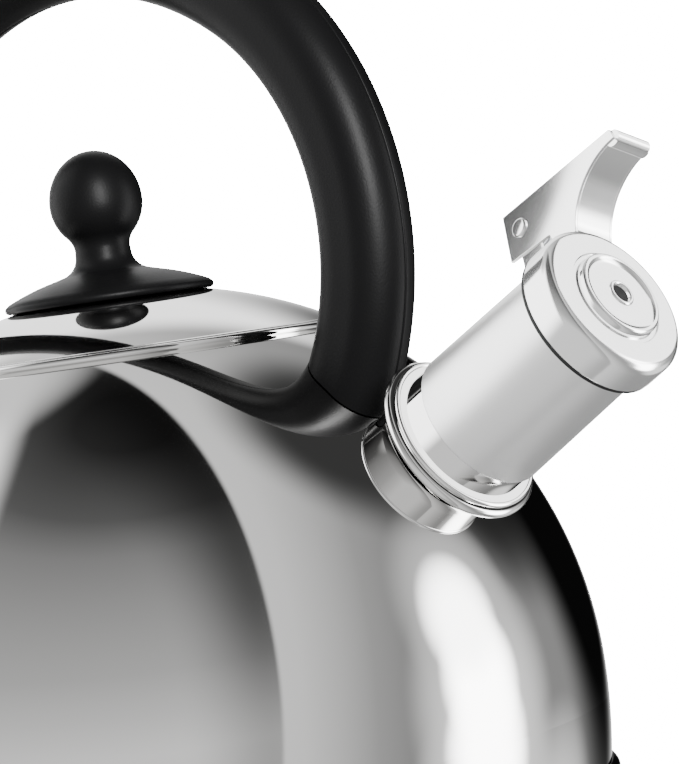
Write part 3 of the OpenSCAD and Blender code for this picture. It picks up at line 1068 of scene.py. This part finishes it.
def direction_value(nodes, direction, azimuth, elevation):
    """Dot product of a direction with the one at an azimuth and elevation in degrees."""
    a = math.radians(azimuth)
    e = math.radians(elevation)
    node = nodes.add("ShaderNodeVectorMath", operation="DOT_PRODUCT")
    node.inputs[1].default_value = (math.cos(e) * math.cos(a), math.cos(e) * math.sin(a), math.sin(e))
    nodes.link(direction, node.inputs[0])
    return node.outputs["Value"]


def ramp(nodes, value, stops):
    """Grey ramp through (position, brightness) stops."""
    node = nodes.add("ShaderNodeValToRGB")
    node.color_ramp.interpolation = "LINEAR"
    while len(node.color_ramp.elements) < len(stops):
        node.color_ramp.elements.new(0.5)
    for element, (position, level) in zip(node.color_ramp.elements, stops):
        element.position = position
        element.color = (level, level, level, 1)
    nodes.link(value, node.inputs["Fac"])
    return node.outputs["Color"]


def mixed(nodes, factor, a, b):
    """a where factor is 0, b where it is 1."""
    node = nodes.add("ShaderNodeMix", data_type="FLOAT")
    for key, value in (("Factor", factor), ("A", a), ("B", b)):
        if isinstance(value, (int, float)):
            node.inputs[key].default_value = value
        else:
            nodes.link(value, node.inputs[key])
    return node.outputs["Result"]


def degrees(nodes, value):
    return nodes.math("MULTIPLY", nodes.math("ARCSINE", value), 180 / math.pi)


backdrop_level = 24.0
floor_level = 18.0
# soft boxes and flags, all angles in degrees: azimuth from the front view, elevation,
# radius of the full part, radius where it has faded out, brightness
soft_boxes = [
    (180, 15, 26, 38, 2.5),
    (-112, 20, 32, 52, 5.0),
    (-140, 52, 6, 24, 1.1),
    (105, 50, 12, 28, 0.05),
    (122, 26, 8, 24, 0.03),
    (118, -32, 8, 26, 1.5),
    (87, -24, 8, 28, 1.3),
    (87, -4, 8, 28, 1.3),
    (86, 14, 6, 22, 0.9),
    (86, -26, 2, 17, 12.0),
    (86, -12, 2, 16, 13.0),
    (86, 0, 2, 15, 13.0),
    (85, 12, 1, 14, 9.0),
    (150, 8, 15, 32, 0.004),
]


def room(camera_azimuth):
    """Soft studio: a grey hall on the left, a bright wall on the right, soft boxes and flags."""
    world = bpy.data.worlds.new("studio")
    bpy.context.scene.world = world
    world.use_nodes = True
    nodes = Nodes(world.node_tree)
    background = world.node_tree.nodes["Background"]
    direction = nodes.add("ShaderNodeTexCoord").outputs["Generated"]
    height = nodes.add("ShaderNodeSeparateXYZ")
    nodes.link(direction, height.inputs[0])
    elevation = degrees(nodes, height.outputs["Z"])
    side = degrees(nodes, direction_value(nodes, direction, camera_azimuth + 117, -8))
    # left of the wall's edge: bright near the floor, dark overhead, darker close to the edge
    by_height = nodes.between(elevation, 0, 1, -20, 80)
    low_hall = [(0.0, 1.0), (0.2, 1.0), (0.3, 0.75), (0.4, 0.55)]
    high_hall = [(0.6, 0.36), (0.7, 0.27), (0.8, 0.12), (1.0, 0.035)]
    hall = ramp(nodes, by_height, low_hall + high_hall)
    close = nodes.between(side, 0, 1, -26, -2, smooth=True)
    shade_at_edge = mixed(nodes, close, 1.0, nodes.between(elevation, 0.5, 0.24, 0, 36, smooth=True))
    left = nodes.math("MULTIPLY", hall, shade_at_edge)
    # right of the edge: bright along it, then grey
    wall_side = nodes.between(side, 0, 1, 0, 90)
    wall_stops = [(0.0, 1.0), (0.06, 0.95), (0.17, 0.7), (0.28, 0.45), (0.4, 0.33), (1.0, 0.33)]
    right = ramp(nodes, wall_side, wall_stops)
    is_right = nodes.between(side, 0.0, 1.0, -0.8, 0.8, smooth=True)
    level = mixed(nodes, is_right, left, right)
    for azimuth, at_height, inner, outer, brightness in soft_boxes:
        near = direction_value(nodes, direction, camera_azimuth + azimuth, at_height)
        cos_outer = math.cos(math.radians(outer))
        cos_inner = math.cos(math.radians(inner))
        inside = nodes.between(near, 0.0, 1.0, cos_outer, cos_inner, smooth=True)
        level = mixed(nodes, inside, level, brightness)
    light_path = nodes.add("ShaderNodeLightPath")
    seen = mixed(nodes, light_path.outputs["Is Camera Ray"], level, backdrop_level)
    nodes.link(seen, background.inputs["Color"])
    background.inputs["Strength"].default_value = 1.0


def floor():
    """Pale paper, kept out of the mirror so that the room shows there."""
    mesh = bpy.data.meshes.new("floor")
    half = 2.5
    corners = [(-half, -half, 0), (half, -half, 0), (half, half, 0), (-half, half, 0)]
    mesh.from_pydata(corners, [], [(0, 1, 2, 3)])
    obj = bpy.data.objects.new("floor", mesh)
    bpy.context.scene.collection.objects.link(obj)
    obj.location.z = -0.0005
    obj.visible_glossy = False
    mat, nodes, shader, _ = material("floor_paper", (0.85, 0.85, 0.85), 0.0, 0.9)
    shader.inputs["Emission Color"].default_value = (1, 1, 1, 1)
    seen = nodes.add("ShaderNodeLightPath").outputs["Is Camera Ray"]
    nodes.link(nodes.math("MULTIPLY", seen, floor_level), shader.inputs["Emission Strength"])
    obj.data.materials.append(mat)


def area_light(name, azimuth, elevation, distance, size, power, target, receivers):
    """Soft box that lights only the given pieces; the dome does not see it."""
    group = bpy.data.collections.new(name + "_receivers")
    for obj in receivers:
        group.objects.link(obj)
    data = bpy.data.lights.new(name, "AREA")
    data.shape = "RECTANGLE"
    data.size, data.size_y = size
    data.energy = power
    light = bpy.data.objects.new(name, data)
    bpy.context.scene.collection.objects.link(light)
    turn = math.radians(azimuth)
    height = math.radians(elevation)
    flat = math.cos(height)
    away = Vector((math.cos(turn) * flat, math.sin(turn) * flat, math.sin(height)))
    light.location = Vector(target) + away * distance
    light.rotation_euler = away.to_track_quat("Z", "Y").to_euler()
    light.visible_camera = False
    light.light_linking.receiver_collection = group


def camera():
    """Long lens near the lid's height, rolled a few degrees, closing in on the lid and the spout."""
    data = bpy.data.cameras.new("camera")
    data.sensor_fit = "HORIZONTAL"
    data.sensor_width = 36
    data.lens = 170.2
    obj = bpy.data.objects.new("camera", data)
    bpy.context.scene.collection.objects.link(obj)
    right = Vector((0.7411, 0.6563, -0.1417)).normalized()
    back = Vector((0.6654, -0.7461, 0.0239))
    back = (back - right * back.dot(right)).normalized()
    obj.matrix_world = placed(right, back.cross(right), back, Vector((0.5706, -0.5595, 0.1331)))
    bpy.context.scene.camera = obj
    return obj


body_shell()
base_pieces()
mouth_collar()
spout_neck()
handle_half("handle_left_half_looks", 1, "handle_left_half")
handle_half("handle_right_half_looks", -1, "handle_right_half")
handle_screws()
lid_pieces()
lid_knob()
whistle_tube()
whistle_sleeve()
hinge_bracket()
hinge_rivet()
hinge_spring()
whistle_cap()
whistle_face()
cap_lever()
cap_gasket()
coat_cad_nodes()
# the polished dome mirrors the room and the handle, and not the spout right in front of it
for obj in bpy.context.scene.objects:
    if obj.name.startswith(("spout_", "neck_", "whistle_", "hinge_", "cap_", "plug_")):
        obj.visible_glossy = False
view = camera()
camera_azimuth = math.degrees(math.atan2(view.location.y, view.location.x))
room(camera_azimuth)
black_names = ("handle_left", "handle_right", "lid_knob")
mouldings = [obj for obj in bpy.data.objects if obj.name.startswith(black_names)]
area_light("strip", camera_azimuth + 14, 16, 1.1, (0.3, 0.8), 70, (0, 0, 0.17), mouldings)
plated = [obj for obj in bpy.data.objects if obj.name.startswith(("whistle_", "hinge_", "cap_"))]
area_light("cap_box", camera_azimuth + 108, 33, 0.7, (0.6, 0.6), 4.2, (0.14, 0, 0.14), plated)
floor()
